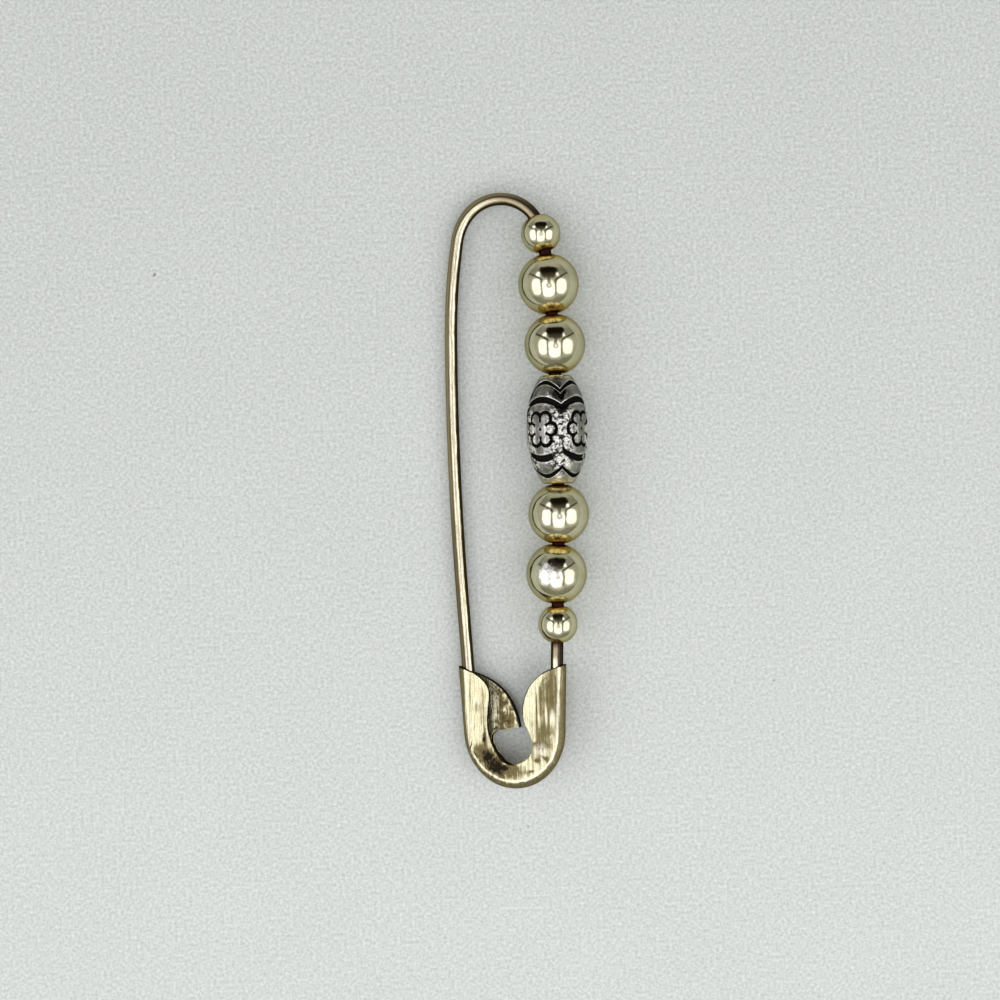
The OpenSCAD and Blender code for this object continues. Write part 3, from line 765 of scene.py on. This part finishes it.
def rim_line():
    """The middle of the rolled rim, and which way is out: straight down the left side, half an
    ellipse round the bottom and straight up the right side. Its places are closer together at the
    mouth and where the tongue ends."""
    start = RIM_R * math.sin(RIM_LEAN)
    low = start - FINE_MOUTH
    join = BOTTOM_Y + BOTTOM_B * math.sin(math.pi + JOIN)
    left = np.concatenate([start - FINE_MOUTH * np.linspace(0, 1, 30, endpoint=False) ** 1.5,
                           np.linspace(low, FINE_TONGUE, 62, endpoint=False),
                           np.linspace(FINE_TONGUE, join, 34, endpoint=False)])
    right = np.concatenate([np.linspace(join, low, 72),
                            start - FINE_MOUTH * np.linspace(1, 0, 31)[1:] ** 1.5])
    bend = np.linspace(math.pi + JOIN, 2 * math.pi - JOIN, 150, endpoint=False)
    lean = math.tan(RIM_LEAN)
    x = np.concatenate([-(HALF_MOUTH + left * lean), BOTTOM_A * np.cos(bend), HALF_MOUTH + right * lean])
    y = np.concatenate([left, BOTTOM_Y + BOTTOM_B * np.sin(bend), right])
    square = np.arctan2(BOTTOM_A * np.sin(bend), BOTTOM_B * np.cos(bend)) % (2 * math.pi)
    out = np.concatenate([0 * left + math.pi + RIM_LEAN, square, 0 * right + 2 * math.pi - RIM_LEAN])
    return np.stack([x, y], -1), np.stack([np.cos(out), np.sin(out)], -1)


def reach_to(edge, middle, out):
    """How far the sheet runs inwards from the outermost line of the rim at each place on it, until
    a line square to the rim first meets the edge."""
    start = middle + RIM_R * out
    p, span = edge[None, :-1], (edge[1:] - edge[:-1])[None]
    gap = p - start[:, None]
    d = -out[:, None]
    cross = d[..., 0] * span[..., 1] - d[..., 1] * span[..., 0]
    cross = np.where(np.abs(cross) < 1e-9, 1e-9, cross)
    run = (gap[..., 0] * span[..., 1] - gap[..., 1] * span[..., 0]) / cross
    share = (gap[..., 0] * d[..., 1] - gap[..., 1] * d[..., 0]) / cross
    met = (share >= -1e-6) & (share <= 1 + 1e-6) & (run >= -1e-6)
    return np.maximum(np.min(np.where(met, run, np.where(met.any(1, keepdims=True), 99, 0)), axis=1), 0.02)


def rolled(length, r):
    """A place on the section of a rolled rim of radius r, from its length along the sheet: round
    the rim first, and then straight in. It gives the distance out from the rim's middle and the
    height, and the way the sheet runs there."""
    a = np.minimum(length / r, math.pi / 2)
    flat = np.maximum(length - r * math.pi / 2, 0)
    return r * np.cos(a) - flat, r * np.sin(a), -np.sin(a), np.cos(a)


def length_to(reach, r):
    """The length along the section of a rolled rim of radius r from its outermost line to where it
    is at this distance out from the rim's middle: an arc, and past the middle an arc and a
    straight."""
    return np.where(reach > 0, r * np.arccos(np.clip(reach / r, -1, 1)), r * math.pi / 2 - reach)


def one_side(run):
    """Half of the clasp's section, from the outermost line to its edge and back inside: outer
    face, rounded edge, inner face. Columns are shares of the sheet's length."""
    reach = RIM_R - run
    outer_l, inner_l = length_to(reach, RIM_R), length_to(reach, HOLLOW_R)
    lip = np.minimum(LIP_REACH, outer_l * 0.5)
    inner_lip = np.minimum(lip, inner_l * 0.5)
    outer = rolled((outer_l - lip)[:, None] * np.linspace(0, 1, FACE_COLS)[None, :], RIM_R)
    inner = rolled((inner_l - inner_lip)[:, None] * np.linspace(1, 0, FACE_COLS)[None, :], HOLLOW_R)
    q = np.linspace(0, 1, EDGE_COLS + 2)[None, 1:-1]
    bulge = lip[:, None] * (1 - (2 * q - 1) ** 4) ** 0.5
    edge_d = outer[0][:, -1:] * (1 - q) + inner[0][:, :1] * q + bulge * outer[2][:, -1:]
    edge_z = outer[1][:, -1:] * (1 - q) + inner[1][:, :1] * q + bulge * outer[3][:, -1:]
    return np.hstack([outer[0], edge_d, inner[0]]), np.hstack([outer[1], edge_z, inner[1]])


def clasp_grid():
    """The clasp's surface: a section like a letter C is carried along the rim. Going round it, it
    runs over the front's outer face, its edge and its inner face, and back through the back."""
    middle, out = rim_line()
    front = smooth_edge(FRONT_EDGE)
    back = np.vstack([smooth_edge(TONGUE_EDGE), smooth_edge(BACK_EDGE)])
    fd, fz = one_side(reach_to(front, middle, out))
    bd, bz = one_side(reach_to(back, middle, out))
    d = np.hstack([fd, bd[:, ::-1][:, 1:-1]])
    z = np.hstack([fz, -bz[:, ::-1][:, 1:-1]])
    x = middle[:, :1] + d * out[:, :1]
    y = middle[:, 1:] + d * out[:, 1:]
    return x, y, z, d


def clasp_place(x, y, w):
    """From the clasp's own frame, with the middle of its mouth at the origin, to where it lies."""
    c, s = math.cos(CLASP_TURN), math.sin(CLASP_TURN)
    return laid(MOUTH[0] + x * c - y * s, MOUTH[1] + x * s + y * c, w)


# Marks on the clasp's front and on the tongue, in millimetres from the middle of the mouth: x, y,
# half width, half height, turn in degrees, and how much olive film, black dirt and white wear there is.
# They are partly real stains and wear and partly painted light: dark patches at the lower left and on
# the right lobe as painted reflection of the dark stand, a painted shadow along the keyhole's bottom
# edge, and pale streaks on the right lobe as painted highlights.
MARKS = [(3.80, -10.5, 1.30, 0.55, 0, 0.44, 0.08, 0.0), (3.55, -1.7, 0.60, 1.3, 0, -0.50, -0.1, 0.0),
         (-6.10, -9.3, 0.35, 0.80, 0, 0.40, 0.08, 0.0),
         (-5.40, -11.6, 0.35, 0.45, 0, -0.50, -0.1, 0.0), (-3.30, -11.5, 0.75, 0.55, 0, 0.40, 0.24, 0.0),
         (4.55, -13.0, 0.40, 0.50, 0, 0.30, 0.05, 0.0),
         (-0.60, -13.35, 1.50, 0.35, 0, 0.70, 0.25, 0.0), (3.95, -1.1, 0.45, 1.0, 0, -0.60, -0.1, 0.0),
         (5.75, -3.0, 0.60, 3.4, 0, 0.62, 0.05, 0.0), (5.65, -8.6, 0.40, 1.5, 0, 0.25, 0.0, 0.0),
         (3.50, -11.6, 1.60, 1.9, 0, 0.36, 0.0, 0.0), (2.10, -7.2, 0.50, 1.6, 0, 0.14, 0.0, 0.0),
         (-3.60, -9.9, 0.40, 0.9, -15, 0.45, 0.10, 0.0), (-5.60, -6.5, 0.55, 6.0, 0, 0.10, 0.0, 0.0),
         (4.45, -5.1, 0.88, 4.8, 0, 0.70, 0.10, 0.0), (4.05, -9.0, 0.85, 1.5, 0, 0.60, 0.05, 0.0),
         (5.55, -4.3, 0.85, 5.3, 0, 0.42, 0.06, 0.0), (6.20, -8.0, 0.35, 5.0, 0, 0.35, 0.0, 0.0),
         (3.30, -5.6, 0.09, 4.2, 0, 0.70, 0.25, 0.0), (4.45, -2.0, 0.90, 1.4, 0, 0.10, 0.10, 0.0),
         (5.60, -4.4, 0.30, 0.6, 0, 0.50, 0.20, 0.0), (4.60, -6.6, 0.20, 1.5, 0, -0.60, -0.2, 0.4),
         (5.40, -7.0, 0.34, 1.2, 0, -0.55, -0.2, 0.6), (5.75, -3.0, 0.12, 1.9, 0, -0.40, -0.2, 0.3),
         (2.90, -7.6, 0.35, 1.6, 0, 0.32, 0.05, 0.0), (3.75, -11.1, 0.75, 0.9, 0, -0.10, -0.1, 0.6),
         (3.10, -10.2, 0.45, 0.14, 20, 0.60, 0.25, 0.0), (4.50, -12.3, 0.50, 0.35, -35, 0.60, 0.20, 0.0),
         (4.05, -12.1, 0.55, 0.16, -35, 0.50, 0.20, 0.0), (3.15, -12.5, 0.38, 0.28, 0, 0.70, 0.35, 0.0),
         (2.35, -13.9, 0.36, 0.20, 10, 0.70, 0.38, 0.0), (1.55, -13.6, 0.10, 0.55, 0, 0.70, 0.32, 0.0),
         (1.90, -14.2, 0.70, 0.50, 0, 0.40, 0.05, 0.0), (0.95, -15.35, 0.40, 0.12, 10, 0.60, 0.30, 0.0),
         (-0.35, -14.0, 1.60, 0.90, 0, 0.80, 0.06, 0.0), (-3.10, -12.7, 2.50, 1.50, -48, 1.00, 0.24, 0.0),
         (-2.50, -13.1, 1.90, 1.05, -38, 0.40, 0.30, 0.0), (-3.55, -12.1, 0.40, 0.26, 0, 0.20, 0.30, 0.0),
         (-5.72, -10.5, 0.10, 0.75, -16, 0.75, 0.55, 0.0), (-5.30, -11.4, 0.11, 0.60, 35, 0.75, 0.45, 0.0),
         (-3.85, -9.2, 0.30, 1.10, -6, 0.40, 0.38, 0.0), (-3.80, -5.8, 0.42, 3.30, -2, 0.46, 0.20, 0.0),
         (-4.75, -5.4, 0.50, 0.70, 0, 0.36, 0.24, 0.0), (-5.62, -4.0, 0.07, 3.6, -3, 0.55, 0.10, 0.0),
         (-5.20, -8.2, 0.10, 1.6, -4, 0.45, 0.12, 0.0), (-4.60, -10.9, 0.90, 0.60, 0, 0.60, 0.12, 0.0)]
# painted light: the wide mark at x -2.95 lightens the tongue where the left lobe shades it
TONGUE_MARKS = [(-1.35, -5.9, 0.36, 0.8, -20, -0.24, 0.0, 0.0),
                (-1.90, -3.9, 0.50, 0.22, -25, -0.36, 0.0, 0.0),
                (-2.95, -5.8, 0.60, 3.0, 0, -0.70, 0.0, 0.2), (-2.00, -6.0, 0.45, 2.2, 0, 0.44, 0.18, 0.0),
                (-0.95, -7.3, 0.75, 0.8, 0, 0.44, 0.20, 0.0), (-2.20, -2.6, 0.55, 0.45, 0, 0.35, 0.20, 0.0)]


def spread(*amounts):
    """Amounts of film, dirt and wear that are the same all over."""
    return np.array(amounts)[:, None, None]


def marked(x, y, marks):
    """Film, dirt and wear summed over the marks: each falls off as e to the minus its reach to the
    third, where the reach is one at its half width or its half height."""
    total = np.zeros((3,) + x.shape)
    for mid_x, mid_y, half_x, half_y, turn, *amounts in marks:
        c, s = math.cos(math.radians(turn)), math.sin(math.radians(turn))
        u, v = (x - mid_x) * c + (y - mid_y) * s, (y - mid_y) * c - (x - mid_x) * s
        total += np.exp(-np.hypot(u / half_x, v / half_y) ** 3) * spread(*amounts)
    return total


def from_line(x, y, line):
    """How far each place is from the nearest point of a finely divided line."""
    return np.min(np.hypot(x[..., None] - line[:, 0], y[..., None] - line[:, 1]), axis=-1)


def painted(x, y, d):
    """Film and dirt with painted shade and reflection in them, wear with a painted highlight, and
    mottling at each place of the sheet. Its columns run over the front's outer face, cut edge and inner
    face, and then the back's inner face, cut edge and outer face. The rim is painted dark outside,
    partly as tarnish and partly as painted reflection, with a painted highlight line inside it. The cut
    edges are painted dark as shade too, but for the right lobe's beside the keyhole, which is left
    bright. The tongue has a paler border along its cut edge. A thin painted shadow line runs along the
    left lobe's edge, the mouth and the tongue's edge; the hidden faces are painted dark as shade."""
    column = np.arange(d.shape[1])[None, :] + 0 * d
    back = d.shape[1] - 1 - column
    front_cut = (column >= FACE_COLS) & (column < FACE_COLS + EDGE_COLS)
    back_cut = (back >= FACE_COLS - 1) & (back < FACE_COLS - 1 + EDGE_COLS)
    back_inside = (column >= FACE_COLS * 2 + EDGE_COLS) & (back >= FACE_COLS - 1 + EDGE_COLS)
    cut_column = d.shape[1] - FACE_COLS - EDGE_COLS
    from_cut = d - d[:, cut_column:cut_column + 1]
    # painted reflection, partly tarnish: the rim's outer band is painted dark olive, wider at the bottom
    start = 0.42 + np.where(x < 0, -0.20, 0.08) * soft((y + 7) / 5) - 0.17 * soft((-12.5 - y) / 2.5)
    rim = soft((d / RIM_R - start) / 0.16)
    front = (marked(x, y, MARKS) + spread(0.06, 0, 0)) * (1 - rim) + spread(0.96, 0.07, 0.10) * rim
    # painted shadow: a thin dark line along the left lobe's edge and the mouth
    shadow_line_zone = np.maximum(soft((0.8 - x) / 0.8), 0.6 * soft((y + 1.8) / 0.6))[:, :FACE_COLS]
    from_edge = from_line(x[:, :FACE_COLS], y[:, :FACE_COLS], smooth_edge(FRONT_EDGE))
    front[:2, :, :FACE_COLS] += shadow_line_zone * soft((0.20 - from_edge) / 0.10) * spread(0.9, 0.62)
    # painted highlight: a pale line just inside the rim's dark band
    front += np.exp(-((d / RIM_R - start + 0.12) / 0.10) ** 2) * spread(-0.5, -0.1, 0.8)
    tongue = marked(x, y, TONGUE_MARKS) + spread(0.68, 0.08, 0)
    tongue[0] -= 0.45 * soft((0.62 - from_cut) / 0.25)
    # painted shadow: a thin dark line along the tongue's cut edge
    tongue[:2] += soft((0.20 - from_cut) / 0.10) * spread(0.9, 0.6)
    # painted shade: the hidden faces are painted with film and dirt
    total = np.where(column < FACE_COLS, front, np.where(back_inside, tongue, spread(0.72, 0.15, 0)))
    bright_cut = front_cut & (x > 0) & (y < BRIGHT_CUT_SPAN[1]) & (y > BRIGHT_CUT_SPAN[0])
    below = y <= TONGUE_FOOT
    # painted shade: the cut edges are painted dark, but for the right lobe's beside the keyhole and the
    # back's below the tongue, which stay bright
    total = np.where(front_cut & ~bright_cut | back_cut & ~below, spread(0.8, 0.75, 0), total)
    total = np.where(bright_cut | back_cut & below, spread(0.15, 0, 0), total)
    return *total, np.where(back_inside, 0.7, 0.12 + 0.5 * soft((-10 - y) / 2) * soft((1.0 - x) / 2))


def clasp_finish():
    finish, tree, shader = new_finish("worn_gold_sheet", Metallic=1.0, Specular_Tint=(0.6, 0.55, 0.42, 1))
    place = shade_value(tree, "sheet_place", "Vector")
    lines = noise(tree, stretched(tree, place, 7, 0.30, 7), 1.0, 3.0, 0.65)
    cloud = noise(tree, stretched(tree, place, 1.2, 0.8, 1.2), 1.0, 4.0, 0.6)
    specks = noise(tree, stretched(tree, place, 4.5, 2.2, 4.5), 1.0, 3.0, 0.6)
    blots = noise(tree, stretched(tree, place, 1.9, 1.3, 1.9), 1.0, 4.0, 0.62, 0.6)
    streaks = noise(tree, stretched(tree, place, 4.2, 0.12, 4.2), 1.0, 3.0, 0.6)
    film = shade_value(tree, "film")
    uneven = plus(tree, times(tree, minus(tree, cloud, 0.5), 0.5),
                  times(tree, minus(tree, lines, 0.5), 0.9))
    uneven = plus(tree, uneven, times(tree, minus(tree, specks, 0.5), 0.6))
    uneven = plus(tree, uneven, times(tree, minus(tree, streaks, 0.5), 2.0))
    mottled = times(tree, shade_value(tree, "mottle"), times(tree, minus(tree, blots, 0.5), 3.6))
    uneven = plus(tree, uneven, mottled)
    # painted shade and reflection, partly real film: the film share also paints the rim band, the edges and
    # the hidden faces olive
    olive_and_shade = rise(tree, plus(tree, film, times(tree, uneven, rise(tree, film, -0.2, 0.3))), 0.05, 0.85)
    pale = blend_colour(tree, rise(tree, lines, 0.35, 0.65), BRUSHED_DARK, BRUSHED_GOLD)
    pale = blend_colour(tree, times(tree, rise(tree, cloud, 0.45, 0.72), 0.8), pale, YELLOWED)
    colour = blend_colour(tree, olive_and_shade, pale, OLIVE_FILM_AND_SHADE)
    # painted highlight, partly real wear: wear also paints the pale line inside the rim
    wear = times(tree, shade_value(tree, "wear"), rise(tree, specks, 0.35, 0.6))
    colour = blend_colour(tree, wear, colour, RUBBED_GOLD_AND_HIGHLIGHT)
    dirt = shade_value(tree, "dirt")
    # painted shadow, partly real dirt: dirt also paints the dark lines along the edges and the hidden faces
    dirty = rise(tree, plus(tree, dirt, mottled), 0.05, 0.70)
    colour = blend_colour(tree, times(tree, dirty, 0.8), colour, DIRT_AND_SHADE)
    spots = plus(tree, times(tree, specks, 0.6), times(tree, blots, 0.6))
    # painted shadow: strong dirt turns the painted edge lines black too
    black = rise(tree, plus(tree, spots, dirt), 0.88, 1.12)
    colour = blend_colour(tree, black, colour, BLACK_SPOT_AND_SHADE)
    tree.links.new(colour, shader.inputs["Base Color"])
    dull = plus(tree, times(tree, lines, 0.20), plus(tree, times(tree, olive_and_shade, 0.20), 0.14))
    tree.links.new(plus(tree, dull, times(tree, black, 0.15)), shader.inputs["Roughness"])
    dents = plus(tree, times(tree, cloud, 2.0), times(tree, specks, 0.5))
    tree.links.new(bump(tree, plus(tree, lines, dents), 0.00005), shader.inputs["Normal"])
    return finish


def make_clasp():
    x, y, z, d = clasp_grid()
    film, dirt, wear, mottle = painted(x, y, d)
    clasp = skin("folded_clasp", clasp_place(x, y, z), sheet_place=np.stack([x, y, z], -1),
                 film=film, dirt=dirt, wear=wear, mottle=mottle)
    clasp.data.materials.append(clasp_finish())
    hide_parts("clasp")
    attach(clasp, "root")


make_clasp()
